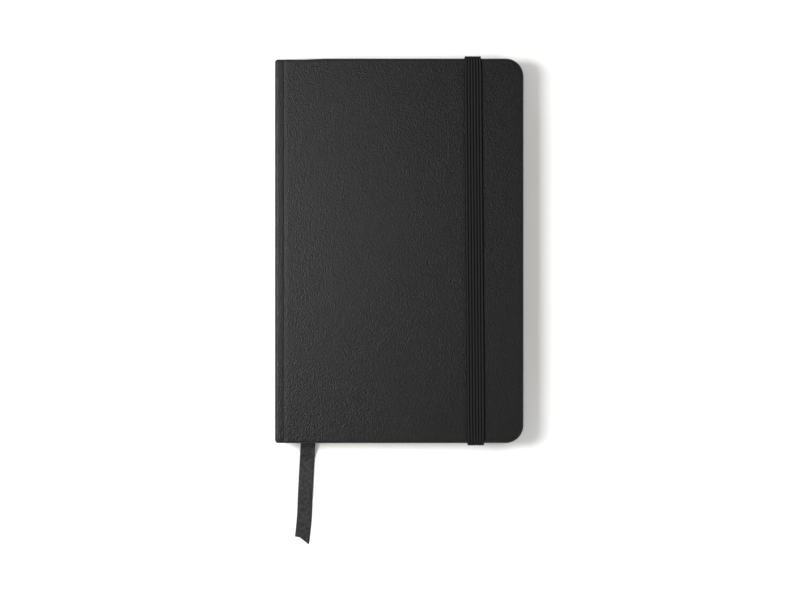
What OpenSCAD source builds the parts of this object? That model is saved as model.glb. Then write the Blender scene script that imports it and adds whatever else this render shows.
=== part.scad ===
// Pocket notebook with a hard cover, sewn sections, an elastic closure, a ribbon
// and an inner pocket. It lies closed on its back cover: +Z points to the front
// cover, +Y to the head and +X to the fore-edge. Millimetres.

/* [Cover] */
// Width of the closed cover, spine edge to fore-edge
cover_w = 90.5; // [85:0.5:95]
// Height of the cover, tail to head
cover_h = 140; // [130:1:150]
// Radius of the two rounded corners at the fore-edge
corner_r = 6.5; // [4:0.5:9]
// Thickness of each cover board
board_t = 1.9; // [1.6:0.1:2.2]
// Thickness of the covering skin
skin_t = 0.4; // [0.3:0.05:0.5]
// Distance from the spine edge to the hinge crease
crease_d = 3.4; // [3.2:0.1:3.8]
// Width of the skin folded over onto the inside of a board
turn_in_w = 12; // [8:1:15]

/* [Book block] */
// Thickness of one sewn section of eight leaves
section_t = 0.8; // [0.7:0.05:0.9]
// How far the leaves stand back from the cover at head, tail and fore-edge
square_w = 3; // [2:0.5:4]
// Radius of the rounded corners of the leaves
leaf_corner_r = 5; // [3:0.5:7]
// Thickness of the endpapers
endpaper_t = 0.15; // [0.12:0.01:0.2]
// Length of the thinner stretch of a section beside its fold
fold_taper = 4.2; // [4:0.2:6]

/* [Closure] */
// Width of the elastic band
band_w = 6.4; // [5:0.2:8]
// Thickness of the elastic band
band_t = 0.8; // [0.6:0.1:1]
// Distance of the band from the middle of the cover
band_x = 27.35; // [20:0.05:32]
// Lean of the band, in degrees
band_lean = 0.45; // [0:0.05:0.6]
// Length of each band end glued inside the back cover
band_end = 14; // [10:1:20]

/* [Ribbon] */
// Width of the bookmark ribbon
ribbon_w = 5.5; // [4:0.5:7]
// Thickness of the ribbon
ribbon_t = 0.25; // [0.2:0.05:0.3]
// Distance of the ribbon from the spine edge where it leaves the tail
ribbon_d = 11.65; // [11:0.05:13]

/* [Pocket] */
// Thickness of the pocket panel
panel_t = 0.35; // [0.25:0.05:0.4]
// Distance from the spine edge to the mouth of the pocket
mouth_d = 18; // [17:0.5:24]
// Width of each folded gusset
gusset_w = 9; // [6:0.5:12]

/* [Hidden] */
$fn = 48;

// Number of sections in the book block
sections = 10;
// Gap kept between faces that move past each other
gap = 0.04;
// How far a cutting shape reaches past what it cuts
over = 1;
spine_x = -cover_w / 2;
half_h = cover_h / 2;
// Depth of the folded-over skin, pressed into the face of the board
turn_in_t = 0.25;
// Radius of the inner corners of the folded-over skin
turn_in_r = 2;
// Half the width of the groove at the hinge crease, and the board's gap beyond it
groove_half = 0.3;
board_gap = 0.2;

// Levels of the layers, from the back face upwards
back_inner_z = skin_t + board_t;
back_paste_z = back_inner_z + endpaper_t;
gusset_t = 0.36;
panel_z = back_paste_z + gusset_t + gap;
back_leaf_z = panel_z + panel_t + gap;
block_z = back_leaf_z + endpaper_t + gap;
front_leaf_z = block_z + sections * section_t;
front_paste_z = front_leaf_z + endpaper_t + gap;
front_inner_z = front_paste_z + endpaper_t;
total_z = front_inner_z + board_t + skin_t;

// Radius of the skin's bend around each hinge line, which is also the distance
// of the hinge line from the spine edge and from the outer face
hinge_r = 1.2;
// Depths of the spine layers, from the spine edge inwards
strip_d = skin_t;
strip_t = 0.8;
strip_inset = 0.3;
lining_d = 1.5;
lining_t = 0.15;
lining_inset = 2;
mull_t = 0.2;
mull_inset = 8;
thread_r = 0.12;
thread_inset = 14;
thread_gap = 0.02;
// Distance of the sections' folds from the spine edge, and half a fold's thickness
fold_d = 2.2;
fold_half = 0.11;
fold_flat = 0.4;
leaf_end_d = cover_w - square_w;
leaf_half_h = half_h - square_w;

// Gap between the band and the cover's edge, and round its bed in the back board
band_gap = 0.05;
bed_gap = 0.15;
// Gutter end of the ribbon: its distance from the spine edge, and where it bends
gutter_d = 4.2;
ribbon_bend_y = 30;
ribbon_bend_step = 2;
ribbon_start_y = 56;
ribbon_start_len = 9;
// Number of flat sides round the ribbon's free end
ribbon_sides = 8;
// Fore-edge end, half height and corner radius of the pocket panel
panel_end_d = 84;
panel_half_h = 62;
panel_corner_r = 2;
// The gussets stand back from the panel's mouth, its fore-edge end and its sides
gusset_mouth = 3;
gusset_end = 2;
gusset_side = 0.5;
gusset_fold_gap = 0.04;

SKIN = [0.07, 0.07, 0.075];
BOARD = [0.55, 0.5, 0.43];
ENDPAPER = [0.93, 0.9, 0.82];
LEAVES = [0.95, 0.92, 0.83];
THREAD = [0.96, 0.95, 0.9];
MULL = [0.88, 0.86, 0.8];
KRAFT = [0.72, 0.58, 0.4];
ELASTIC = [0.05, 0.05, 0.055];
RIBBON = [0.16, 0.16, 0.17];
CLOTH = [0.85, 0.82, 0.74];

function arc(cx, cy, r, a0, a1, steps) =
    [for (i = [0 : steps]) let (a = a0 + (a1 - a0) * i / steps)
        [cx + r * cos(a), cy + r * sin(a)]];

// Outline with square corners at the spine side and round ones at the fore-edge
module leaf_outline(d0, d1, half, r) {
    x0 = spine_x + d0;
    x1 = spine_x + d1;
    polygon(concat([[x0, half], [x0, -half]],
        arc(x1 - r, -half + r, r, -90, 0, 10),
        arc(x1 - r, half - r, r, 0, 90, 10)));
}

module leaf_plate(d0, d1, half, r, z0, t) {
    translate([0, 0, z0]) linear_extrude(t) leaf_outline(d0, d1, half, r);
}

// A profile drawn as (distance from the spine edge, height), run along Y
module along_spine(half) {
    translate([spine_x, half, 0]) rotate([90, 0, 0]) linear_extrude(2 * half) children();
}

// Turns a back-cover shape over so that it serves the front cover
module as_front() {
    translate([0, 0, total_z]) mirror([0, 0, 1]) children();
}

// ---- Cover ----

// Board with its edges pressed down where the skin is folded over
module board() {
    start_d = crease_d + groove_half + board_gap;
    edge_half = half_h - skin_t;
    edge_d = cover_w - skin_t;
    difference() {
        leaf_plate(start_d, edge_d, edge_half, corner_r - skin_t, skin_t, board_t);
        difference() {
            leaf_plate(start_d - over, edge_d + over, edge_half + over, corner_r,
                back_inner_z - turn_in_t, over);
            leaf_plate(start_d - 2 * over, edge_d - turn_in_w, edge_half - turn_in_w,
                turn_in_r, back_inner_z - over, 3 * over);
        }
    }
}

// Skin over the outer face, the three edges and a band of the inner face
module cover_skin() {
    start_d = crease_d + groove_half;
    board_d = start_d + board_gap;
    edge_half = half_h - skin_t;
    edge_d = cover_w - skin_t;
    difference() {
        leaf_plate(start_d, cover_w, half_h, corner_r, 0, back_inner_z);
        leaf_plate(board_d - over, edge_d, edge_half, corner_r - skin_t, skin_t,
            board_t - turn_in_t);
        leaf_plate(start_d - over, edge_d - turn_in_w, edge_half - turn_in_w, turn_in_r,
            skin_t, board_t + over);
    }
}

// Skin that bends around the hinge line and reaches to the crease
module hinge_skin() {
    flat_d = crease_d - groove_half;
    bridge_d = crease_d + groove_half;
    color(SKIN) along_spine(half_h) polygon(concat(
        arc(hinge_r, hinge_r, hinge_r, 180, 270, 12),
        [[flat_d, 0], [flat_d, skin_t / 2], [bridge_d, skin_t / 2], [bridge_d, skin_t]],
        arc(hinge_r, hinge_r, hinge_r - skin_t, 270, 180, 12)));
}

// The band's bed and slot in the back board and its skin
module band_slot() {
    bed_l = band_end + bed_gap;
    leaning() for (y0 = [-half_h - over, half_h - bed_l])
        translate([-band_w / 2 - bed_gap, y0, back_inner_z - band_t])
            cube([band_w + 2 * bed_gap, bed_l + over, band_t + over]);
}

module back_board() {
    color(BOARD) difference() {
        board();
        band_slot();
    }
}

module back_cover_skin() {
    color(SKIN) difference() {
        cover_skin();
        band_slot();
    }
}

module front_board() {
    color(BOARD) as_front() board();
}

module front_cover_skin() {
    color(SKIN) as_front() cover_skin();
}

module back_hinge_skin() {
    hinge_skin();
}

module front_hinge_skin() {
    as_front() hinge_skin();
}

module spine_skin() {
    color(SKIN) translate([spine_x, -half_h, hinge_r])
        cube([skin_t, cover_h, total_z - 2 * hinge_r]);
}

module spine_strip() {
    low = hinge_r + strip_inset;
    color(BOARD) translate([spine_x + strip_d, -half_h + skin_t, low])
        cube([strip_t, cover_h - 2 * skin_t, total_z - 2 * low]);
}

// ---- Endpapers ----

module pastedown(z0) {
    start_d = crease_d + groove_half + board_gap;
    color(ENDPAPER)
        leaf_plate(start_d, leaf_end_d, leaf_half_h, leaf_corner_r, z0, endpaper_t);
}

module flyleaf(z0) {
    color(ENDPAPER)
        leaf_plate(fold_d, leaf_end_d, leaf_half_h, leaf_corner_r, z0, endpaper_t);
}

module back_pastedown() {
    pastedown(back_inner_z);
}

module back_flyleaf() {
    flyleaf(back_leaf_z);
}

module front_flyleaf() {
    flyleaf(front_leaf_z);
}

module front_pastedown() {
    pastedown(front_paste_z);
}

// ---- Book block ----

// A section of folded leaves, thin at its fold and at full thickness beyond
module section(number) {
    thickness = section_t - gap;
    low = block_z + (number - 1) * section_t;
    middle = low + thickness / 2;
    color(LEAVES) intersection() {
        along_spine(leaf_half_h) polygon([
            [fold_d, middle - fold_half],
            [fold_d + fold_flat, middle - fold_half],
            [fold_d + fold_taper, low],
            [cover_w, low],
            [cover_w, low + thickness],
            [fold_d + fold_taper, low + thickness],
            [fold_d + fold_flat, middle + fold_half],
            [fold_d, middle + fold_half]]);
        leaf_plate(0, leaf_end_d, leaf_half_h, leaf_corner_r, low - over,
            section_t + 2 * over);
    }
}

// Thread runs along the fold of each section, linked at the kettle stitches
module sewing_thread() {
    start_x = spine_x + fold_d - thread_gap - 2 * thread_r;
    run_half = leaf_half_h - thread_inset;
    low = block_z + (section_t - gap) / 2 - thread_r;
    link_w = 2 * thread_r;
    color(THREAD) union() {
        for (i = [0 : sections - 1])
            translate([start_x, -run_half, low + i * section_t])
                cube([link_w, 2 * run_half, link_w]);
        for (y = [-run_half, -run_half / 3, run_half / 3, run_half - link_w])
            translate([start_x, y, low])
                cube([link_w, link_w, (sections - 1) * section_t + link_w]);
    }
}

module spine_mull() {
    color(MULL)
        translate([spine_x + lining_d + lining_t, -leaf_half_h + mull_inset, block_z])
        cube([mull_t, 2 * (leaf_half_h - mull_inset), sections * section_t - gap]);
}

module spine_lining() {
    color(KRAFT) translate([spine_x + lining_d, -leaf_half_h + lining_inset, block_z])
        cube([lining_t, 2 * (leaf_half_h - lining_inset), sections * section_t - gap]);
}

// ---- Elastic closure ----

module leaning() {
    translate([band_x, 0, 0]) rotate([0, 0, band_lean]) children();
}

// Glued end, arm round the edge and half of the front run, mirrored for the other end
module elastic_band() {
    wall = half_h + band_gap;
    low = back_inner_z - band_t;
    inner_y = half_h - band_end;
    top = total_z + gap;
    color(ELASTIC) leaning() translate([-band_w / 2, 0, 0])
        rotate([90, 0, 90]) linear_extrude(band_w) polygon([
            [inner_y, low], [wall + band_t, low], [wall + band_t, top + band_t],
            [-wall - band_t, top + band_t], [-wall - band_t, low], [-inner_y, low],
            [-inner_y, low + band_t], [-wall, low + band_t], [-wall, top], [wall, top],
            [wall, low + band_t], [inner_y, low + band_t]]);
}

// ---- Bookmark ribbon ----

// The ribbon comes out of the gutter near the head and lies on the back pastedown
module bookmark_ribbon() {
    half_w = ribbon_w / 2;
    color(RIBBON) translate([spine_x, 0, back_paste_z + gap / 2])
        linear_extrude(ribbon_t) polygon([
            [ribbon_d - half_w, -half_h], [ribbon_d + half_w, -half_h],
            [ribbon_d + half_w, ribbon_bend_y],
            [gutter_d, ribbon_start_y + ribbon_start_len], [gutter_d, ribbon_start_y],
            [ribbon_d - half_w, ribbon_bend_y - ribbon_bend_step]]);
}

// Points of the free end: over the cover's edge, down to the table and along it
ribbon_route = [[-33.6, -70, 2.6], [-33.65, -71, 2.55], [-33.75, -72.2, 2.2],
    [-33.82, -73.4, 1.6], [-33.9, -74.6, 1], [-34, -76, 0.55], [-34.1, -77.5, 0.35],
    [-34.25, -80, 0.3], [-34.4, -83, 0.35], [-34.55, -86, 0.45], [-34.7, -89, 0.4],
    [-34.85, -92, 0.25], [-34.95, -95, 0.25], [-35.1, -98, 0.3], [-35.35, -101, 0.35],
    [-35.65, -104, 0.3], [-35.95, -106.6, 0.22]];

function unit(v) = v / norm(v);
function route_direction(p, i) =
    unit(p[min(i + 1, len(p) - 1)] - p[max(i - 1, 0)]);
// Flat ring of points across the route: wide in X, thin along the route's normal
function flat_ring(p, i, w, t) =
    let (along = route_direction(p, i),
        side = unit(cross(along, [0, 0, 1])),
        up = cross(side, along),
        reach = 1 / (2 * cos(180 / ribbon_sides)))
    [for (k = [0 : ribbon_sides - 1]) let (a = 360 * (k + 0.5) / ribbon_sides)
        p[i] + side * cos(a) * w * reach + up * sin(a) * t * reach];

module ribbon_tail() {
    rings = len(ribbon_route);
    points = [for (i = [0 : rings - 1]) each flat_ring(ribbon_route, i, ribbon_w, ribbon_t)];
    sides = [for (i = [0 : rings - 2], k = [0 : ribbon_sides - 1])
        let (a = i * ribbon_sides, n = (k + 1) % ribbon_sides)
        [a + k, a + n, a + ribbon_sides + n, a + ribbon_sides + k]];
    near_end = [for (k = [ribbon_sides - 1 : -1 : 0]) k];
    far_end = [for (k = [0 : ribbon_sides - 1]) (rings - 1) * ribbon_sides + k];
    color(RIBBON) polyhedron(points, concat([near_end], sides, [far_end]));
}

// ---- Inner pocket ----

module pocket_panel() {
    color(ENDPAPER)
        leaf_plate(mouth_d, panel_end_d, panel_half_h, panel_corner_r, panel_z, panel_t);
}

// A gusset folded flat between the panel and the pastedown
module gusset(side) {
    ply = (gusset_t - gusset_fold_gap) / 2;
    start_d = mouth_d + gusset_mouth;
    outer_y = side * (panel_half_h - gusset_side);
    color(CLOTH) translate([spine_x + start_d, outer_y, back_paste_z + gap / 2])
        mirror([0, side > 0 ? 1 : 0, 0]) difference() {
            cube([panel_end_d - gusset_end - start_d, gusset_w, gusset_t]);
            translate([-over, -over, ply])
                cube([panel_end_d, gusset_w - ply + over, gusset_fold_gap]);
        }
}

module pocket_head_gusset() {
    gusset(1);
}

module pocket_tail_gusset() {
    gusset(-1);
}

back_board();
back_cover_skin();
back_pastedown();
bookmark_ribbon();
ribbon_tail();
back_hinge_skin();
spine_skin();
spine_strip();
spine_lining();
spine_mull();
sewing_thread();
front_hinge_skin();
front_board();
front_cover_skin();
front_pastedown();
front_flyleaf();
back_flyleaf();
section(1);  // section_01
section(2);  // section_02
section(3);  // section_03
section(4);  // section_04
section(5);  // section_05
section(6);  // section_06
section(7);  // section_07
section(8);  // section_08
section(9);  // section_09
section(10);  // section_10
elastic_band();
pocket_panel();
pocket_head_gusset();
pocket_tail_gusset();
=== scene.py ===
"""Pocket notebook, closed and lying on its back cover.

Lengths are in metres; MM turns millimetres into them."""

import math
import random

import bmesh
import bpy
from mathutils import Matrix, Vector


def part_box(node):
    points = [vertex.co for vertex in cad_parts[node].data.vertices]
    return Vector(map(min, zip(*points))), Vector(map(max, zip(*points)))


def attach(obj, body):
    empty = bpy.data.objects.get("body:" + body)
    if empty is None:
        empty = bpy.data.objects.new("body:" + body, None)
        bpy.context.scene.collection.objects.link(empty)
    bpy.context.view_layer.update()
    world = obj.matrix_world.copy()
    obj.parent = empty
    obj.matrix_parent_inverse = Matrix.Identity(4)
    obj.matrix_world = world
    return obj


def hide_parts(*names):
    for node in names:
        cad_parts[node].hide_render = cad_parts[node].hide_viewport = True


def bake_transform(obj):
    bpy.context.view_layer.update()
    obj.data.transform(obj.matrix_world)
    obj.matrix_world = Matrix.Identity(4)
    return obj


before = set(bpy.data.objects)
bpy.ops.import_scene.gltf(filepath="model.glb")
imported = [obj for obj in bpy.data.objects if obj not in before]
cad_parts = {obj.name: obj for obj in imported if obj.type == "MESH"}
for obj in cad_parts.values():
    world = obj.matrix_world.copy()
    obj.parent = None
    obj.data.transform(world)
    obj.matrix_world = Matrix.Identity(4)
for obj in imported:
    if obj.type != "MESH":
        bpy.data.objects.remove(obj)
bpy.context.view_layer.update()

MM = 0.001

# ---------------------------------------------------------------- places, from the frame
SPINE_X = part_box("spine_skin")[0].x
FORE_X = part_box("front_cover_skin")[1].x
HALF_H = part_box("front_cover_skin")[1].y
TOP_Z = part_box("front_cover_skin")[1].z
COVER_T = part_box("back_cover_skin")[1].z
LEAF_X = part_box("section_01")[1].x
LEAF_HALF_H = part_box("section_01")[1].y
FOLD_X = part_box("section_01")[0].x
BAND_LOW, BAND_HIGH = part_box("elastic_band")
SECTIONS = [name for name in sorted(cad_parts) if name.startswith("section_")]

# ---------------------------------------------------------------- sizes of the visual pieces
CORNER_R = 6.5 * MM
LEAF_CORNER_R = 5 * MM
CREASE_D = 3.4 * MM
CREASE_DIP = 0.045 * MM
CREASE_RUN = 1.2 * MM
HINGE_R = 1.2 * MM
EDGE_R = 0.75 * MM
INNER_R = 0.45 * MM
TURN_IN = 12 * MM
SKIN_T = 0.3 * MM
HEAD_BOW = 0.3 * MM
HEAD_BOW_D = (11 * MM, 18 * MM)
BAND_X = 27.35 * MM
BAND_W = 6.4 * MM
BAND_T = 0.8 * MM
BAND_LEAN = math.radians(0.45)
SLOT_LENGTH = 4 * MM
SLOT_PLAY = 0.05 * MM
RIBBON_W = 5.5 * MM
RIBBON_T = 0.22 * MM
LEAVES_PER_SECTION = 8

# ---------------------------------------------------------------- camera, then the cord's route
VIEW_X = 0.3 * MM
VIEW_Y = -17.9 * MM
VIEW_WIDTH = 291.0 * MM
LENS = 100.0
SENSOR = 36.0


def make_camera():
    """Looks straight down from the height at which the picture shows VIEW_WIDTH of the cover's plane."""
    data = bpy.data.cameras.new("camera")
    data.lens = LENS
    data.sensor_width = SENSOR
    camera = bpy.data.objects.new("camera", data)
    bpy.context.scene.collection.objects.link(camera)
    camera.location = (VIEW_X, VIEW_Y, TOP_Z + VIEW_WIDTH * LENS / SENSOR)
    bpy.context.scene.camera = camera


make_camera()

RIBBON_ROUTE = [Vector(p) * MM for p in (
    (-33.6, -70, 2.6), (-33.65, -71, 2.55), (-33.75, -72.2, 2.2), (-33.82, -73.4, 1.6),
    (-33.9, -74.6, 1), (-34, -76, 0.55), (-34.1, -77.5, 0.35), (-34.25, -80, 0.3),
    (-34.4, -83, 0.35), (-34.55, -86, 0.45), (-34.7, -89, 0.4), (-34.85, -92, 0.25),
    (-34.95, -95, 0.25), (-35.1, -98, 0.3), (-35.35, -101, 0.35), (-35.65, -104, 0.3),
    (-35.95, -106.6, 0.22))]


# ---------------------------------------------------------------- mesh helpers
def smooth_step(a, b, v):
    t = min(1.0, max(0.0, (v - a) / (b - a)))
    return t * t * (3 - 2 * t)


def arc_angles(start, end, steps):
    return [math.radians(start + (end - start) * i / steps) for i in range(steps + 1)]


def make_piece(name, verts, faces, material, attributes=None, sharp=40, outward=None):
    """A mesh object with smooth faces, sharp above an angle, and per-vertex attributes for its material.

    outward is (place, direction): the face nearest the place looks that way, which orients an open sheet."""
    mesh = bpy.data.meshes.new(name)
    mesh.from_pydata([tuple(v) for v in verts], [], faces)
    for key, values in (attributes or {}).items():
        kind = "FLOAT_VECTOR" if isinstance(values[0], (tuple, list, Vector)) else "FLOAT"
        layer = mesh.attributes.new(key, kind, "POINT")
        if kind == "FLOAT":
            layer.data.foreach_set("value", values)
        else:
            layer.data.foreach_set("vector", [c for v in values for c in v])
    bm = bmesh.new()
    bm.from_mesh(mesh)
    bmesh.ops.recalc_face_normals(bm, faces=bm.faces)
    if outward:
        place, direction = Vector(outward[0]), Vector(outward[1])
        nearest = min(bm.faces, key=lambda f: (f.calc_center_median() - place).length)
        if nearest.normal.dot(direction) < 0:
            bmesh.ops.reverse_faces(bm, faces=bm.faces)
    limit = math.radians(sharp)
    for face in bm.faces:
        face.smooth = True
    for edge in bm.edges:
        if len(edge.link_faces) == 2 and edge.calc_face_angle(0) > limit:
            edge.smooth = False
    bm.to_mesh(mesh)
    bm.free()
    mesh.materials.append(material)
    piece = bpy.data.objects.new(name, mesh)
    bpy.context.scene.collection.objects.link(piece)
    return piece


def thicken(piece, thickness):
    """Gives an open sheet its thickness, on the side away from its normals."""
    solid = piece.modifiers.new("thickness", "SOLIDIFY")
    solid.thickness = thickness
    solid.offset = -1
    solid.use_even_offset = False


def ring_faces(rings, count, closed):
    """Quads between successive rings of count points each."""
    last = count if closed else count - 1
    return [(r * count + k, r * count + (k + 1) % count,
             (r + 1) * count + (k + 1) % count, (r + 1) * count + k)
            for r in range(rings - 1) for k in range(last)]


# ---------------------------------------------------------------- material helpers
def start_material(name, roughness, specular, sheen=0.0):
    """A material and its shader, with the values that are the same all over set on the shader's sockets."""
    material = bpy.data.materials.new(name)
    material.use_nodes = True
    shader = material.node_tree.nodes["Principled BSDF"]
    shader.inputs["Roughness"].default_value = roughness
    shader.inputs["Specular IOR Level"].default_value = specular
    shader.inputs["Sheen Weight"].default_value = sheen
    return material, material.node_tree, shader


def put(tree, kind, settings=None, **inputs):
    """Adds a node. A socket given as an input is linked, anything else is its value.

    An input is named after its socket, with _ for a space, or i and its number."""
    node = tree.nodes.new(kind)
    for key, value in (settings or {}).items():
        setattr(node, key, value)
    for key, value in inputs.items():
        name = key.replace("_", " ")
        socket = node.inputs[int(name[1:])] if name[0] == "i" and name[1:].isdigit() else node.inputs[name]
        if isinstance(value, bpy.types.NodeSocket):
            tree.links.new(value, socket)
        else:
            socket.default_value = value
    return node


def math_node(tree, operation, a, b=0.0, clamp=False):
    node = put(tree, "ShaderNodeMath", {"operation": operation, "use_clamp": clamp}, i0=a, i1=b)
    return node.outputs[0]


def millimetres(tree, attribute=None):
    """Coordinates in millimetres: the object's own, or a cloth attribute already in millimetres."""
    if attribute:
        return put(tree, "ShaderNodeAttribute", {"attribute_name": attribute}).outputs["Vector"]
    source = put(tree, "ShaderNodeTexCoord").outputs["Object"]
    return put(tree, "ShaderNodeVectorMath", {"operation": "SCALE"}, i0=source, Scale=1 / MM).outputs[0]


def noise(tree, where, scale, detail, rough):
    return put(tree, "ShaderNodeTexNoise", Vector=where, Scale=scale, Detail=detail,
               Roughness=rough).outputs["Fac"]


def ramp(tree, value, stops):
    """A colour ramp with stops of (place, grey or colour)."""
    node = put(tree, "ShaderNodeValToRGB", Fac=value)
    elements = node.color_ramp.elements
    while len(elements) < len(stops):
        elements.new(0.5)
    for element, (place, colour) in zip(elements, stops):
        element.position = place
        rgb = (colour,) * 3 if isinstance(colour, float) else colour
        element.color = (*rgb, 1.0)
    return node.outputs["Color"]


def mix_colour(tree, factor, a, b):
    """Mixes two colours, each a socket or red, green and blue, by a factor that is a socket."""
    node = tree.nodes.new("ShaderNodeMix")
    node.data_type = "RGBA"
    tree.links.new(factor, node.inputs["Factor"])
    for socket, value in ((node.inputs[6], a), (node.inputs[7], b)):
        if isinstance(value, bpy.types.NodeSocket):
            tree.links.new(value, socket)
        else:
            socket.default_value = (*value, 1.0)
    return node.outputs[2]


def bump(tree, shader, height, strength, depth):
    node = put(tree, "ShaderNodeBump", Height=height, Strength=strength, Distance=depth)
    tree.links.new(node.outputs["Normal"], shader.inputs["Normal"])


# ---------------------------------------------------------------- materials
# Sizes in the materials are in millimetres, as millimetres() gives them.
RULE_PITCH = 6.0
RULE_SHIFT = 300.0
RULE_TOP = 52.0
RULE_HALF_SHARE = 0.018
SELVEDGE = 2.35


def leatherette():
    """Matte black coated skin: pebbled grain, faint mottling, rubbed where the edge attribute is high."""
    material, tree, shader = start_material("leatherette", 0.36, specular=0.24)
    where = millimetres(tree)
    pebbles = put(tree, "ShaderNodeTexVoronoi", {"feature": "SMOOTH_F1"}, Vector=where, Scale=2.1,
                  Smoothness=0.35, Randomness=0.95).outputs["Distance"]
    fine = noise(tree, where, 5.5, 3.0, 0.6)
    mottle = noise(tree, where, 0.11, 3.0, 0.6)
    blotch = noise(tree, where, 1.3, 2.0, 0.6)
    edge = put(tree, "ShaderNodeAttribute", {"attribute_name": "edge"}).outputs["Fac"]
    rub = math_node(tree, "MULTIPLY", edge, noise(tree, where, 0.35, 4.0, 0.7))
    tone = ramp(tree, mottle, [(0.3, (0.0019, 0.0019, 0.0021)), (0.7, (0.0039, 0.0039, 0.0041))])
    speck = ramp(tree, noise(tree, where, 1.3, 3.0, 0.7), [(0.42, 0.0), (0.62, 1.0)])
    tone = mix_colour(tree, speck, tone, (0.0008, 0.0008, 0.0009))
    pits = ramp(tree, pebbles, [(0.12, 0.0), (0.5, 1.0)])
    tone = mix_colour(tree, pits, tone, (0.0055, 0.0055, 0.0058))
    tone = mix_colour(tree, math_node(tree, "MULTIPLY", rub, 0.5, True), tone, (0.016, 0.0157, 0.0154))
    tree.links.new(tone, shader.inputs["Base Color"])
    gloss = ramp(tree, blotch, [(0.3, 0.3), (0.7, 0.42)])
    tree.links.new(gloss, shader.inputs["Roughness"])
    height = math_node(tree, "ADD", math_node(tree, "MULTIPLY", pebbles, 1.1),
                       math_node(tree, "ADD", math_node(tree, "MULTIPLY", fine, 0.7),
                                 math_node(tree, "MULTIPLY", blotch, 1.2)))
    bump(tree, shader, height, 0.85, 0.08 * MM)
    return material


def woven_elastic():
    """Black braided elastic: each cord's knitted stitches, with a painted highlight where they ride on the
    cords' tops, and painted shade in the grooves between the cords.
    """
    material, tree, shader = start_material("woven_elastic", 0.75, specular=0.06)
    cloth = millimetres(tree, "cloth")
    split = put(tree, "ShaderNodeSeparateXYZ", Vector=cloth)
    across, along, ridge = split.outputs[0], split.outputs[1], split.outputs[2]
    slant = math_node(tree, "ADD", math_node(tree, "MULTIPLY", along, 9.0),
                      math_node(tree, "MULTIPLY", across, 5.9))
    counter = math_node(tree, "SUBTRACT", math_node(tree, "MULTIPLY", along, 9.0),
                        math_node(tree, "MULTIPLY", across, 5.9))
    stitch = math_node(tree, "MAXIMUM", math_node(tree, "SINE", slant), math_node(tree, "SINE", counter))
    fuzz = noise(tree, cloth, 7.0, 3.0, 0.65)
    # Painted shade: the colour darkens from a cord's top down into the grooves between the cords.
    groove_shade_tone = ramp(tree, ridge, [(0.55, (0.0003, 0.0003, 0.0004)), (0.98, (0.019, 0.019, 0.02))])
    # Painted highlight: the knitted stitch pattern is lightened more the higher on a cord it lies.
    thread = math_node(tree, "MULTIPLY", math_node(tree, "ADD", stitch, 1.0), 0.22)
    tone = mix_colour(tree, math_node(tree, "MULTIPLY", thread, ridge), groove_shade_tone, (0.03, 0.03, 0.031))
    tone = mix_colour(tree, math_node(tree, "MULTIPLY", fuzz, 0.5), tone, (0.001, 0.001, 0.0012))
    tree.links.new(tone, shader.inputs["Base Color"])
    height = math_node(tree, "ADD", math_node(tree, "MULTIPLY", stitch, 0.5), fuzz)
    bump(tree, shader, height, 0.6, 0.08 * MM)
    return material


def satin():
    """Charcoal satin ribbon: fine weft ribs, a firm selvedge and soft mottling."""
    material, tree, shader = start_material("satin", 0.5, specular=0.3, sheen=0.05)
    cloth = millimetres(tree, "cloth")
    split = put(tree, "ShaderNodeSeparateXYZ", Vector=cloth)
    across, along = split.outputs[0], split.outputs[1]
    weft = math_node(tree, "SINE", math_node(tree, "MULTIPLY", along, 24.0))
    warp = math_node(tree, "SINE", math_node(tree, "MULTIPLY", across, 30.0))
    mottle = noise(tree, cloth, 0.75, 4.0, 0.66)
    fuzz = noise(tree, cloth, 9.0, 2.0, 0.6)
    tone = ramp(tree, mottle, [(0.4, (0.0005, 0.0005, 0.0007)), (0.6, (0.022, 0.022, 0.0235))])
    selvedge = math_node(tree, "GREATER_THAN", math_node(tree, "ABSOLUTE", across), SELVEDGE)
    tone = mix_colour(tree, math_node(tree, "MULTIPLY", selvedge, 0.4), tone, (0.008, 0.008, 0.009))
    tone = mix_colour(tree, math_node(tree, "MULTIPLY", fuzz, 0.3), tone, (0.006, 0.006, 0.0065))
    tree.links.new(tone, shader.inputs["Base Color"])
    height = math_node(tree, "ADD", math_node(tree, "MULTIPLY", weft, 0.6),
                       math_node(tree, "ADD", math_node(tree, "MULTIPLY", warp, 0.25), fuzz))
    bump(tree, shader, height, 0.35, 0.04 * MM)
    return material


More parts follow.
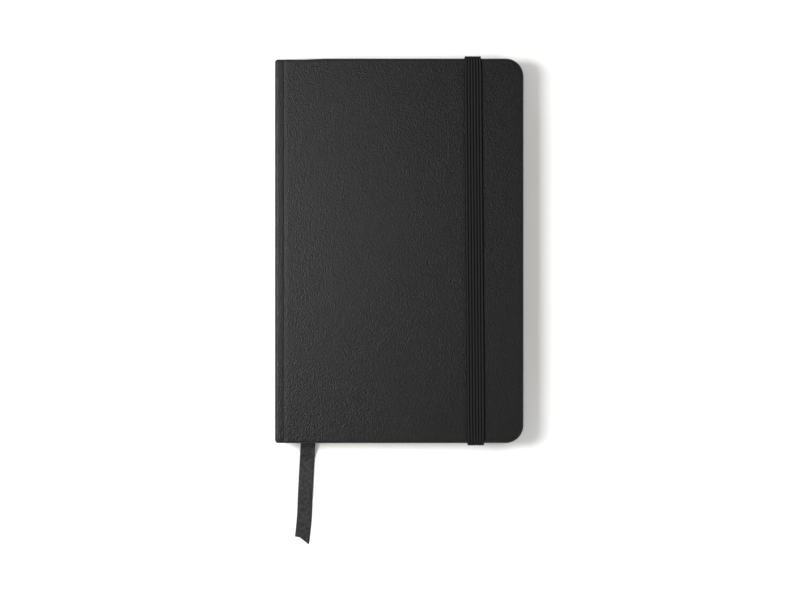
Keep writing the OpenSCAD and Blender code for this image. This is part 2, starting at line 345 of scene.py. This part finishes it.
def paper(name, light, dark, ruled):
    """Uncoated paper or card with fibres. Ruled paper also has faint lines below its head margin.

    RULE_SHIFT, a whole number of pitches, keeps the lines' count above zero all over the leaf."""
    material, tree, shader = start_material(name, 0.86, specular=0.25)
    where = millimetres(tree)
    fibres = noise(tree, where, 3.2, 5.0, 0.7)
    cloud = noise(tree, where, 0.08, 2.0, 0.5)
    tone = ramp(tree, fibres, [(0.3, dark), (0.62, light)])
    tone = mix_colour(tree, math_node(tree, "MULTIPLY", cloud, 0.25), tone, dark)
    if ruled:
        y = put(tree, "ShaderNodeSeparateXYZ", Vector=where).outputs[1]
        count = math_node(tree, "DIVIDE", math_node(tree, "ADD", y, RULE_SHIFT), RULE_PITCH)
        phase = math_node(tree, "FRACT", count)
        off_line = math_node(tree, "ABSOLUTE", math_node(tree, "SUBTRACT", phase, 0.5))
        line = math_node(tree, "LESS_THAN", off_line, RULE_HALF_SHARE)
        below_head = math_node(tree, "LESS_THAN", y, RULE_TOP)
        printed = put(tree, "ShaderNodeAttribute", {"attribute_name": "printed"}).outputs["Fac"]
        line = math_node(tree, "MULTIPLY", line, math_node(tree, "MULTIPLY", below_head, printed))
        tone = mix_colour(tree, math_node(tree, "MULTIPLY", line, 0.5), tone, (0.42, 0.42, 0.44))
        leaf = put(tree, "ShaderNodeAttribute", {"attribute_name": "leaf_tone"}).outputs["Fac"]
        tone = mix_colour(tree, math_node(tree, "MULTIPLY", leaf, 0.35), tone, (0.55, 0.5, 0.4))
    tree.links.new(tone, shader.inputs["Base Color"])
    bump(tree, shader, fibres, 0.25, 0.03 * MM)
    return material


def board_grey():
    """Grey recycled board with dark and light fibre flecks."""
    material, tree, shader = start_material("board_grey", 0.9, specular=0.2)
    where = millimetres(tree)
    flecks = noise(tree, where, 2.4, 6.0, 0.75)
    tone = ramp(tree, flecks, [(0.3, (0.2, 0.175, 0.14)), (0.55, (0.4, 0.36, 0.29)),
                               (0.75, (0.55, 0.5, 0.42))])
    tree.links.new(tone, shader.inputs["Base Color"])
    bump(tree, shader, flecks, 0.5, 0.08 * MM)
    return material


def plain_weave(name, colour, dark, pitch, roughness):
    """A plain cloth weave in the YZ and XY planes, with threads pitch millimetres apart."""
    material, tree, shader = start_material(name, roughness, specular=0.25, sheen=0.1)
    where = millimetres(tree)
    split = put(tree, "ShaderNodeSeparateXYZ", Vector=where)
    turn = 2 * math.pi / pitch
    flat = math_node(tree, "ADD", split.outputs[0], split.outputs[2])
    warp = math_node(tree, "SINE", math_node(tree, "MULTIPLY", flat, turn))
    weft = math_node(tree, "SINE", math_node(tree, "MULTIPLY", split.outputs[1], turn))
    crossing = math_node(tree, "MULTIPLY", warp, weft)
    weave = math_node(tree, "ADD", math_node(tree, "MULTIPLY", crossing, 0.5), 0.5)
    slub = noise(tree, where, 1.5, 4.0, 0.65)
    tone = mix_colour(tree, weave, dark, colour)
    tone = mix_colour(tree, math_node(tree, "MULTIPLY", slub, 0.4), tone, dark)
    tree.links.new(tone, shader.inputs["Base Color"])
    bump(tree, shader, math_node(tree, "ADD", weave, slub), 0.6, 0.06 * MM)
    return material


def linen_thread():
    """Waxed linen thread with its twist."""
    material, tree, shader = start_material("linen_thread", 0.6, specular=0.4)
    where = millimetres(tree)
    split = put(tree, "ShaderNodeSeparateXYZ", Vector=where)
    turns = math_node(tree, "ADD", math_node(tree, "MULTIPLY", split.outputs[1], 18.0),
                      math_node(tree, "MULTIPLY", split.outputs[2], 9.0))
    twist = math_node(tree, "SINE", turns)
    shade = math_node(tree, "ADD", math_node(tree, "MULTIPLY", twist, 0.5), 0.5)
    tone = mix_colour(tree, shade, (0.62, 0.6, 0.53), (0.86, 0.84, 0.78))
    tree.links.new(tone, shader.inputs["Base Color"])
    bump(tree, shader, twist, 0.5, 0.03 * MM)
    return material


LEATHERETTE = leatherette()
ELASTIC = woven_elastic()
SATIN = satin()
LEAF_PAPER = paper("leaf_paper", (0.86, 0.81, 0.68), (0.78, 0.72, 0.58), ruled=True)
ENDPAPER = paper("endpaper", (0.84, 0.79, 0.66), (0.75, 0.69, 0.56), ruled=False)
POCKET_CARD = paper("pocket_card", (0.8, 0.75, 0.62), (0.68, 0.62, 0.5), ruled=False)
KRAFT = paper("kraft", (0.5, 0.35, 0.2), (0.36, 0.24, 0.13), ruled=False)
BOARD = board_grey()
MULL = plain_weave("mull", (0.8, 0.77, 0.68), (0.42, 0.4, 0.34), 0.9, 0.9)
GUSSET_CLOTH = plain_weave("gusset_cloth", (0.72, 0.67, 0.54), (0.52, 0.48, 0.38), 0.45, 0.85)
THREAD = linen_thread()


# ---------------------------------------------------------------- cover
CORNER_STEPS = 12
FORE_STEPS = 16
LEAST_R = 0.6 * MM
# Columns of the skin's mesh: beside the crease, and at the two sides of a slot's wall.
CREASE_COLUMNS = [d * MM for d in (0, 0.3, 0.6, 0.9, 1.2, 2)]
SLOT_WALL = (-0.02 * MM, 0.13 * MM)
# Insets of the outer face's flat part and of its rubbed edge, and of the inner face's flat part.
FACE_INSET = 2.2 * MM
RUB_INSET = 1.3 * MM
INNER_INSET = 3.2 * MM


def band_centre(y):
    """The band's middle at a height on the cover; the band leans a little."""
    return BAND_X - y * math.tan(BAND_LEAN)


def head_half(x):
    """Half height at the head, where the cover stands a little lower beside the spine."""
    return HALF_H - HEAD_BOW * (1 - smooth_step(*HEAD_BOW_D, x - SPINE_X))


def side_places(y):
    """Places along the head or tail edge: close together at the crease and beside the band's slot."""
    start = SPINE_X + CREASE_D
    end = FORE_X - CORNER_R
    near = [start + d for d in CREASE_COLUMNS]
    steps, first = 20, 3 * MM
    even = [start + first + (end - start - first) * i / steps for i in range(steps + 1)]
    centre = band_centre(y)
    slot = [centre + side * (BAND_W / 2 + d) for side in (-1, 1) for d in SLOT_WALL]
    apart = 0.8 * MM
    clear = [x for x in even if not BAND_W / 2 <= abs(x - centre) <= BAND_W / 2 + apart]
    return sorted(near + clear + slot)


def cover_outline(inset, tail, head):
    """An open outline from the crease round the fore-edge and back, set in from the cover's edge."""
    start = SPINE_X + CREASE_D
    radius = max(CORNER_R - inset, LEAST_R)
    arc_x = FORE_X - inset - radius
    stretch = (arc_x - start) / (FORE_X - CORNER_R - start)
    low = -HALF_H + inset + radius
    points = [(start + (x - start) * stretch, -HALF_H + inset) for x in tail]
    points += [(arc_x + radius * math.cos(a), low + radius * math.sin(a))
               for a in arc_angles(-90, 0, CORNER_STEPS)[1:]]
    points += [(FORE_X - inset, low - 2 * low * i / FORE_STEPS) for i in range(1, FORE_STEPS)]
    points += [(arc_x + radius * math.cos(a), -low + radius * math.sin(a))
               for a in arc_angles(0, 90, CORNER_STEPS)[:-1]]
    points += [(start + (x - start) * stretch, head_half(start + (x - start) * stretch) - inset)
               for x in reversed(head)]
    return points


def cover_profile():
    """Rows of (inset, depth, edge wear): outer face, rolled edge, wall, inner roll and turned-in skin."""
    rows = [(FACE_INSET, 0, 0.0), (RUB_INSET, 0, 0.15)]
    rows += [(EDGE_R * (1 - math.sin(a)), EDGE_R * (1 - math.cos(a)), math.sin(2 * a) ** 2 * 0.7 + 0.3)
             for a in arc_angles(0, 90, 6)]
    wall = COVER_T - INNER_R
    rows += [(INNER_R * (1 - math.cos(a)), wall + INNER_R * math.sin(a), 0.3) for a in arc_angles(0, 90, 4)]
    rows += [(INNER_INSET, COVER_T, 0.0), (TURN_IN, COVER_T, 0.0)]
    rows.append((TURN_IN + 0.1 * MM, COVER_T - 0.2 * MM, 0.0))
    return rows


def in_slot(x, y):
    """Whether a place is in a slot of the back cover, short of the outer column of the slot's wall."""
    side = BAND_W / 2 + sum(SLOT_WALL) / 2
    return abs(x - band_centre(y)) < side and abs(y) > HALF_H - SLOT_LENGTH


def cover_skin(name, node, body, front):
    """One cover's skin, from the crease to the fore-edge. The back one has slots for the band's ends."""
    tail, head = side_places(-HALF_H), side_places(HALF_H)
    count = len(cover_outline(0, tail, head))
    verts, wear = [], []
    rows = cover_profile()
    for inset, depth, edge in rows:
        for x, y in cover_outline(inset, tail, head):
            deep = depth
            crease = x - SPINE_X - CREASE_D
            if depth < COVER_T / 2:
                deep += CREASE_DIP * (1 - smooth_step(0, CREASE_RUN, crease))
            if not front and in_slot(x, y):
                deep = min(deep, COVER_T - BAND_T - SLOT_PLAY)
            verts.append((x, y, TOP_Z - deep if front else deep))
            wear.append(edge)
    faces = ring_faces(len(rows), count, closed=False)
    # The face is filled by strips from tail to head, and by one polygon at the fore-edge.
    strips = len(tail) + CORNER_STEPS - 2
    faces += [(i, i + 1, count - 2 - i, count - 1 - i) for i in range(strips)]
    faces.append(tuple(range(strips, count - strips)))
    outward = ((0, 0, TOP_Z), (0, 0, 1)) if front else ((0, 0, 0), (0, 0, -1))
    piece = make_piece(name, verts, faces, LEATHERETTE, {"edge": wear}, outward=outward)
    thicken(piece, SKIN_T)
    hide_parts(node)
    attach(piece, body)


def rolled_strip(name, profile, wear, outward, folded=()):
    """A strip of skin run from tail to head, its ends rolled in.

    profile holds (x, z, inward x, inward z, end radius) across the strip. folded continues each end over
    the inside, as (inward, back from the end)."""
    ends = [(angle, None) for angle in arc_angles(0, 90, 6)] + [(None, place) for place in folded]
    rows = [(-1, HALF_H, *end) for end in reversed(ends)]
    steps, straight = 14, HALF_H - 2 * MM
    rows += [(1, (-1 + 2 * i / steps) * straight, None, None) for i in range(steps + 1)]
    rows += [(1, HALF_H - HEAD_BOW, *end) for end in ends]
    verts, edge = [], []
    for side, half, angle, place in rows:
        for (x, z, nx, nz, radius), rub in zip(profile, wear):
            inward, back, shine = 0, 0, 0
            if place:
                inward, back = place
            elif angle is not None:
                inward, back = radius * (1 - math.cos(angle)), radius * (1 - math.sin(angle))
                shine = math.sin(2 * angle) ** 2
            verts.append((x + nx * inward, side * (half - back), z + nz * inward))
            edge.append(max(rub, shine))
    faces = ring_faces(len(rows), len(profile), closed=False)
    return make_piece(name, verts, faces, LEATHERETTE, {"edge": edge}, outward=outward)


WALL_OVERLAP = 0.6 * MM
WALL_ROWS = 3
HINGE_STEPS = 10
END_R_WALL = 1.1 * MM
# How the skin turns over the strip's ends, as (inward, back from the end).
END_FOLD = ((1.4 * MM, 0.15 * MM), (1.48 * MM, 0.5 * MM), (1.48 * MM, TURN_IN))


def hinge_lip(name, node, front):
    """The skin from the spine's wall round the hinge line to the crease."""
    def at(x, z, nx, nz, radius):
        return (SPINE_X + x, TOP_Z - z if front else z, nx, -nz if front else nz, radius)
    profile = [at(0, HINGE_R + WALL_OVERLAP * (1 - i / WALL_ROWS), 1, 0, END_R_WALL)
               for i in range(WALL_ROWS)]
    for a in arc_angles(180, 270, HINGE_STEPS):
        end_radius = END_R_WALL + (EDGE_R - END_R_WALL) * (math.degrees(a) - 180) / 90
        profile.append(at(HINGE_R * (1 + math.cos(a)), HINGE_R * (1 + math.sin(a)),
                          -math.cos(a), -math.sin(a), end_radius))
    for i in range(1, HINGE_STEPS + 1):
        d = HINGE_R + (CREASE_D - HINGE_R) * i / HINGE_STEPS
        dip = CREASE_DIP * smooth_step(CREASE_D - CREASE_RUN, CREASE_D, d)
        profile.append(at(d, dip, 0, 1, EDGE_R))
    bend_wear = [0.2 + 0.5 * math.sin(a) for a in arc_angles(0, 180, HINGE_STEPS)]
    wear = [0.2] * WALL_ROWS + bend_wear + [0.1] * HINGE_STEPS
    outer = TOP_Z if front else 0
    piece = rolled_strip(name, profile, wear, ((SPINE_X + 2 * MM, 0, outer), (0, 0, 1 if front else -1)))
    thicken(piece, SKIN_T)
    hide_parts(node)
    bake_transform(piece)


def spine_wall():
    """The skin over the spine's flat wall, folded over the strip's two ends."""
    low = HINGE_R + WALL_OVERLAP
    steps = 8
    profile = [(SPINE_X, low + (TOP_Z - 2 * low) * i / steps, 1, 0, END_R_WALL) for i in range(steps + 1)]
    piece = rolled_strip("spine_wrap", profile, [0.1] * (steps + 1), ((SPINE_X, 0, TOP_Z / 2), (-1, 0, 0)),
                         folded=END_FOLD)
    thicken(piece, SKIN_T)
    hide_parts("spine_skin")
    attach(piece, "spine")


# ---------------------------------------------------------------- leaves and endpapers
def sheet_columns(start, end, radius):
    """Distances from the spine edge for a sheet's rings.

    They are close together at the gutter, and follow the round corners."""
    gutter_steps, flat_steps, corner_steps = 16, 12, 7
    places = [start + 0.4 * MM * i for i in range(gutter_steps)]
    flat_end = end - radius
    first = places[-1]
    places += [first + (flat_end - first) * i / flat_steps for i in range(1, flat_steps + 1)]
    return places + [flat_end + radius * math.sin(a) for a in arc_angles(0, 90, corner_steps)[1:]]


def sheet_rings(columns, end, radius, half, middle, thickness):
    """Four points a ring round a thin sheet; middle and thickness are functions of the distance."""
    verts = []
    for d in columns:
        over = max(0.0, d - (end - radius))
        h = half - radius + math.sqrt(max(0.0, radius * radius - over * over)) if over else half
        z, t, x = middle(d), thickness(d) / 2, SPINE_X + d
        verts += [(x, -h, z - t), (x, h, z - t), (x, h, z + t), (x, -h, z + t)]
    return verts


def sheet_faces(rings, offset=0):
    faces = ring_faces(rings, 4, closed=True) + [(0, 1, 2, 3), tuple(4 * (rings - 1) + k for k in range(4))]
    return [tuple(offset + i for i in face) for face in faces]


FOLD_D = FOLD_X - SPINE_X
LEAF_END_D = LEAF_X - SPINE_X
# A leaf has FOLD_SHARE of its thickness and spacing as far as CLOSING_START from the fold, and all of it
# CLOSING_RUN further on.
FOLD_SHARE = 0.29
CLOSING_START = 0.4 * MM
CLOSING_RUN = 3.8 * MM
# Share of a leaf's spacing, and of an endpaper's CAD thickness, that is paper.
LEAF_FILL = 0.88
ENDPAPER_FILL = 0.8
ENDPAPER_TURN = 2 * MM
# How far, in millimetres, a leaf may fall short of the block's fore-edge and of its head and tail.
UNEVEN_END = 0.12
UNEVEN_HALF = 0.08


def closing(d):
    """A leaf's share of its full thickness and spacing at a distance from the spine edge."""
    return FOLD_SHARE + (1 - FOLD_SHARE) * min(1.0, max(0.0, (d - FOLD_D - CLOSING_START) / CLOSING_RUN))


def section_leaves(node):
    """The eight leaves of one section, which close up towards their fold."""
    low, high = (corner.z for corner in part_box(node))
    middle, pitch = (low + high) / 2, (high - low) / LEAVES_PER_SECTION
    verts, faces, tones, printed = [], [], [], []
    for k in range(LEAVES_PER_SECTION):
        end = LEAF_END_D - random.uniform(0, UNEVEN_END) * MM
        half = LEAF_HALF_H - random.uniform(0, UNEVEN_HALF) * MM
        columns = sheet_columns(FOLD_D, end, LEAF_CORNER_R)
        lift = (k - (LEAVES_PER_SECTION - 1) / 2) * pitch
        leaf = sheet_rings(columns, end, LEAF_CORNER_R, half, lambda d: middle + lift * closing(d),
                           lambda d: LEAF_FILL * pitch * closing(d))
        faces += sheet_faces(len(columns), len(verts))
        tones += [random.random()] * len(leaf)
        # The last ring of four points is the cut fore-edge, which has no lines.
        printed += [1.0] * (len(leaf) - 4) + [0.0] * 4
        verts += leaf
    piece = make_piece(node + "_leaves", verts, faces, LEAF_PAPER, {"leaf_tone": tones, "printed": printed})
    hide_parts(node)
    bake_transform(piece)


def endpaper_sheet(name, node, fold_z):
    """One leaf of a folded endpaper. Its gutter end turns to the fold that it shares with the other leaf."""
    low, high = (corner.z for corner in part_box(node))
    rest_z, thickness = (low + high) / 2, ENDPAPER_FILL * (high - low)
    columns = sheet_columns(FOLD_D, LEAF_END_D, LEAF_CORNER_R)
    turned = FOLD_D + ENDPAPER_TURN
    verts = sheet_rings(columns, LEAF_END_D, LEAF_CORNER_R, LEAF_HALF_H,
                        lambda d: fold_z + (rest_z - fold_z) * smooth_step(FOLD_D, turned, d),
                        lambda d: thickness)
    piece = make_piece(name, verts, sheet_faces(len(columns)), ENDPAPER)
    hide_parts(node)
    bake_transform(piece)


def endpapers():
    """The two leaves of each endpaper, which share a fold midway between them."""
    for side, cover in (("back", "back_cover"), ("front", "front_cover")):
        flyleaf, pastedown = side + "_flyleaf", side + "_pastedown"
        fold_z = (sum(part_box(flyleaf), Vector()).z + sum(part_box(pastedown), Vector()).z) / 4
        endpaper_sheet(flyleaf + "_paper", flyleaf, fold_z)
        endpaper_sheet(pastedown + "_paper", pastedown, fold_z)


STRIP_SHORTER = 1.5 * MM
STRIP_NARROWER = 0.9 * MM


def spine_strip():
    """The spine's board strip, which ends inside the folded skin.

    It is shorter at each end and narrower than in the CAD."""
    low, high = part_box("spine_strip")
    places = (low.x - SPINE_X, high.x - SPINE_X)
    verts = sheet_rings(places, places[1], 0, high.y - STRIP_SHORTER, lambda d: (low.z + high.z) / 2,
                        lambda d: high.z - low.z - STRIP_NARROWER)
    piece = make_piece("spine_strip_board", verts, sheet_faces(2), BOARD)
    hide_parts("spine_strip")
    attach(piece, "spine")


# ---------------------------------------------------------------- elastic
CORDS = 6
BAND_BEND = 0.55 * MM
BAND_GLUED = 14 * MM
ARM_PLAY = 0.03 * MM
BAND_EDGE_T = 0.32 * MM
# The groove between two cords is this share as thick as a cord.
GROOVE_SHARE = 0.42
# Where it wraps over the edges, the band is narrower by this share.
WRAP_NARROWING = 0.08
WRAP_RUN = 5 * MM


def band_path():
    """Places along the band's middle as (y, z, outward y, outward z), from one glued end to the other."""
    glued_steps, bend_steps, arm_steps, run_steps = 10, 6, 24, 60
    inner_y = HALF_H - BAND_GLUED
    arm_y = BAND_HIGH.y - BAND_T / 2 - ARM_PLAY
    run = arm_y - BAND_BEND
    low_z, top_z = BAND_LOW.z + BAND_T / 2, BAND_HIGH.z - BAND_T / 2
    half = [(inner_y + (run - inner_y) * i / glued_steps, low_z, 0, -1) for i in range(glued_steps)]
    half += [(run + BAND_BEND * math.cos(a), low_z + BAND_BEND + BAND_BEND * math.sin(a),
              math.cos(a), math.sin(a)) for a in arc_angles(-90, 0, bend_steps)]
    rise = top_z - low_z - 2 * BAND_BEND
    half += [(arm_y, low_z + BAND_BEND + rise * i / arm_steps, 1, 0) for i in range(1, arm_steps)]
    half += [(run + BAND_BEND * math.cos(a), top_z - BAND_BEND + BAND_BEND * math.sin(a),
              math.cos(a), math.sin(a)) for a in arc_angles(0, 90, bend_steps)]
    half += [(run * (1 - i / run_steps), top_z, 0, 1) for i in range(1, run_steps)]
    mirrored = [(-y, z, -ny, nz) for y, z, ny, nz in reversed(half)]
    return half + [(0, top_z, 0, 1)] + mirrored


def elastic():
    """Six woven cords side by side, a little narrower where the band wraps over the edges.

    The cloth attribute holds millimetres across and along the band, and how high on a cord a point is, from
    which the material paints shade in the grooves and a highlight on the cords' tops."""
    samples = 8
    across = [(cord + i / samples) / CORDS - 0.5 for cord in range(CORDS) for i in range(samples)] + [0.5]
    ridges = [abs(math.sin(math.pi * CORDS * (u + 0.5))) ** 0.8 for u in across]
    verts, cloth = [], []
    along, last = 0.0, None
    for y, z, ny, nz in band_path():
        along += math.hypot(y - last[0], z - last[1]) if last else 0.0
        last = (y, z)
        width = BAND_W * (1 - WRAP_NARROWING * smooth_step(HALF_H - WRAP_RUN, HALF_H, abs(y)))
        centre = band_centre(y)
        for outward, order in ((1, 1), (-1, -1)):
            for u, ridge in list(zip(across, ridges))[::order]:
                thick = BAND_EDGE_T
                if 0 < u + 0.5 < 1:
                    thick = BAND_T * (GROOVE_SHARE + (1 - GROOVE_SHARE) * ridge)
                rise = outward * thick / 2
                verts.append((centre + u * width, y + ny * rise, z + nz * rise))
                cloth.append((u * BAND_W / MM, along / MM, ridge))
    count = 2 * len(across)
    rings = len(verts) // count
    faces = ring_faces(rings, count, closed=True)
    faces += [tuple(range(count)), tuple((rings - 1) * count + k for k in range(count))]
    piece = make_piece("elastic_weave", verts, faces, ELASTIC, {"cloth": cloth}, sharp=70)
    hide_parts("elastic_band")
    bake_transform(piece)


# ---------------------------------------------------------------- ribbon
# The run inside the book: millimetres from the spine edge and up the book, then only heights, in line
# with the free end.
RIBBON_RUN = ((5.8, 62), (7.2, 50), (9.3, 32), (11, 12))
RIBBON_BELOW = (-12, -40, -66, -70)
RIBBON_GAP = 0.02 * MM
RIBBON_ROLL = math.radians(1)
ROLL_LENGTH = 7 * MM
CUT_RUN = 5 * MM
# The selvedge starts at this share of the half width and is thicker. The outermost edge is thinner.
SELVEDGE_SHARE = 0.86
SELVEDGE_THICKER = 1.25
EDGE_THINNER = 0.35


def spline(points, steps):
    """A smooth curve through the points (Catmull-Rom), with steps places between each two."""
    ends = [2 * points[0] - points[1]] + list(points) + [2 * points[-1] - points[-2]]
    curve = []
    for a, b, c, d in zip(ends, ends[1:], ends[2:], ends[3:]):
        for i in range(steps):
            t = i / steps
            curve.append(0.5 * (2 * b + (c - a) * t + (2 * a - 5 * b + 4 * c - d) * t * t
                                + (3 * b - a - 3 * c + d) * t * t * t))
    return curve + [points[-1]]


def ribbon_strip(name, path, roll, cut):
    """A flat ribbon along a path.

    roll gives its tip about its length at a distance along it, and cut the slant of its far end at a place
    across it."""
    half = 8
    across = [i / half for i in range(-half, half + 1)]
    lengths = [0.0]
    for a, b in zip(path, path[1:]):
        lengths.append(lengths[-1] + (b - a).length)
    verts, cloth = [], []
    for k, point in enumerate(path):
        forward = (path[min(k + 1, len(path) - 1)] - path[max(k - 1, 0)]).normalized()
        side = forward.cross(Vector((0, 0, 1))).normalized() * -1
        up = forward.cross(side).normalized()
        if up.z < 0:
            up = -up
        tip = roll(lengths[k])
        side = side * math.cos(tip) + up * math.sin(tip)
        near_end = smooth_step(lengths[-1] - CUT_RUN, lengths[-1], lengths[k])
        for layer, order in ((1, 1), (-1, -1)):
            for u in across[::order]:
                thick = RIBBON_T / 2
                if abs(u) > SELVEDGE_SHARE:
                    thick *= SELVEDGE_THICKER
                if abs(u) == 1:
                    thick *= EDGE_THINNER
                beyond = cut(u) * near_end
                verts.append(point + side * u * RIBBON_W / 2 + up * layer * thick + forward * beyond)
                cloth.append((u * RIBBON_W / 2 / MM, (lengths[k] + beyond) / MM, 0.0))
    count = 2 * len(across)
    faces = ring_faces(len(path), count, closed=True)
    faces += [tuple(range(count)), tuple((len(path) - 1) * count + k for k in range(count))]
    return make_piece(name, verts, faces, SATIN, {"cloth": cloth}, sharp=70)


def slant(u):
    """How far the ribbon's cut lies beyond the route's end, at a place across from -1 to 1."""
    corner = -0.35
    return (-0.9 + 0.2 * (1 + u) + 2 * max(0.0, (u - corner) / (1 - corner))) * MM


def ribbon():
    """The run inside the book and the free end, which are one ribbon."""
    run_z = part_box("bookmark_ribbon")[0].z + RIBBON_T / 2 + RIBBON_GAP
    run = [Vector((SPINE_X + d * MM, y * MM, run_z)) for d, y in RIBBON_RUN]
    run += [Vector((RIBBON_ROUTE[0].x, y * MM, run_z)) for y in RIBBON_BELOW]
    inner = ribbon_strip("ribbon_run", spline(run, 8), lambda s: 0.0, lambda u: 0.0)
    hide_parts("bookmark_ribbon")
    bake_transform(inner)
    outer = ribbon_strip("ribbon_free_end", spline(RIBBON_ROUTE, 5),
                         lambda s: RIBBON_ROLL * math.sin(s / ROLL_LENGTH), slant)
    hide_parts("ribbon_tail")
    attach(outer, "back_cover")


# ---------------------------------------------------------------- pocket
CARD_T = 0.3 * MM
POCKET_CORNER_R = 1.6 * MM
FLANGE_W = 2.6 * MM
GLUE_T = 0.02 * MM
# The card steps down to its flange between these distances before and after the hinge.
STEP_BEFORE = 1.2 * MM
STEP_AFTER = 0.6 * MM
GUSSET_T = 0.08 * MM
GUSSET_GAP = 0.06 * MM


def pocket():
    """The card panel with the flange that is glued down at the fore-edge, and the two cloth gussets."""
    low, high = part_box("pocket_panel")
    mouth_d, hinge_d = low.x - SPINE_X, high.x - SPINE_X
    panel_z, paste_z = (low.z + high.z) / 2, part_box("back_pastedown")[1].z
    flange_z = paste_z + CARD_T / 2 + GLUE_T
    flat_steps, flat_end = 14, hinge_d - 1.4 * MM
    step_columns, step_pitch = 8, 0.3 * MM
    columns = [mouth_d + POCKET_CORNER_R * (1 - math.cos(a)) for a in arc_angles(0, 90, 5)]
    corner_end = columns[-1]
    columns += [corner_end + (flat_end - corner_end) * i / flat_steps for i in range(1, flat_steps + 1)]
    columns += [hinge_d - STEP_BEFORE + step_pitch * i for i in range(step_columns)]
    columns.append(hinge_d + FLANGE_W)
    verts = []
    for d in columns:
        near = max(0.0, mouth_d + POCKET_CORNER_R - d)
        round_off = POCKET_CORNER_R - math.sqrt(max(0.0, POCKET_CORNER_R ** 2 - near ** 2)) if near else 0.0
        h = high.y - round_off
        z = panel_z + (flange_z - panel_z) * smooth_step(hinge_d - STEP_BEFORE, hinge_d + STEP_AFTER, d)
        t, x = CARD_T / 2, SPINE_X + d
        verts += [(x, -h, z - t), (x, h, z - t), (x, h, z + t), (x, -h, z + t)]
    panel = make_piece("pocket_card_panel", verts, sheet_faces(len(columns)), POCKET_CARD)
    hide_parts("pocket_panel")
    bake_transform(panel)
    for side, name in ((1, "pocket_head_gusset"), (-1, "pocket_tail_gusset")):
        gusset(side, name)


def gusset(side, node):
    """A folded strip of cloth: glued below, folded inwards, glued under the panel."""
    low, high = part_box(node)
    outer, inner = (high.y, low.y) if side > 0 else (low.y, high.y)
    plies, places = 8, 12
    bottom, top = low.z + GUSSET_GAP, high.z - GUSSET_GAP
    path = [(outer + (inner - outer) * i / plies, bottom + (top - bottom) * 0.5 * i / plies)
            for i in range(plies + 1)]
    path += [(y, bottom + top - z) for y, z in reversed(path[:-1])]
    verts = [(low.x + (high.x - low.x) * k / places, y, z) for k in range(places + 1) for y, z in path]
    piece = make_piece(node + "_cloth", verts, ring_faces(places + 1, len(path), closed=False), GUSSET_CLOTH)
    thicken(piece, GUSSET_T)
    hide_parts(node)
    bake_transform(piece)


# ---------------------------------------------------------------- build
random.seed(7)
ribbon()
cover_skin("front_cover_wrap", "front_cover_skin", "front_cover", front=True)
cover_skin("back_cover_wrap", "back_cover_skin", "back_cover", front=False)
hinge_lip("front_hinge_wrap", "front_hinge_skin", front=True)
hinge_lip("back_hinge_wrap", "back_hinge_skin", front=False)
spine_wall()
spine_strip()
endpapers()
for section in SECTIONS:
    section_leaves(section)
elastic()
pocket()

for node, material in (("front_board", BOARD), ("back_board", BOARD),
                       ("spine_lining", KRAFT), ("spine_mull", MULL), ("sewing_thread", THREAD)):
    for material_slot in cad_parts[node].material_slots:
        material_slot.material = material


# ---------------------------------------------------------------- floor and light
FLOOR_SIZE = 6
WORLD_STRENGTH = 2.4


def area_light(name, place, size, power):
    """A rectangular light that faces the middle of the floor."""
    data = bpy.data.lights.new(name, "AREA")
    data.shape = "RECTANGLE"
    data.size, data.size_y = size
    data.energy = power
    light = bpy.data.objects.new(name, data)
    light.location = place
    light.rotation_euler = (-Vector(place)).to_track_quat("-Z", "Y").to_euler()
    bpy.context.scene.collection.objects.link(light)


def dim_overhead_world():
    """White surroundings like lit studio walls.

    They are bright in a band above the horizon, and dim below it and straight above."""
    world = bpy.data.worlds.new("world")
    world.use_nodes = True
    tree = world.node_tree
    height = put(tree, "ShaderNodeSeparateXYZ", Vector=put(tree, "ShaderNodeTexCoord").outputs["Generated"])
    share = ramp(tree, height.outputs[2], [(0.0, 0.1), (0.2, 0.15), (0.34, 1.0), (0.47, 1.0),
                                           (0.58, 0.05), (1.0, 0.02)])
    strength = math_node(tree, "MULTIPLY", share, WORLD_STRENGTH)
    background = tree.nodes["Background"]
    background.inputs["Color"].default_value = (1, 1, 1, 1)
    tree.links.new(strength, background.inputs["Strength"])
    bpy.context.scene.world = world


def studio():
    """The white floor, the surroundings and two lights."""
    bpy.ops.mesh.primitive_plane_add(size=FLOOR_SIZE)
    floor = bpy.context.object
    floor.name = "floor"
    material, _, shader = start_material("floor_white", 0.9, specular=0.1)
    shader.inputs["Base Color"].default_value = (0.93, 0.93, 0.93, 1)
    floor.data.materials.append(material)
    dim_overhead_world()
    bpy.context.scene.view_settings.view_transform = "Standard"
    area_light("key", place=(-0.3, 0.02, 0.5), size=(0.16, 0.24), power=3.5)
    area_light("fill", place=(0.8, -0.45, 0.55), size=(0.7, 0.7), power=2.2)


studio()
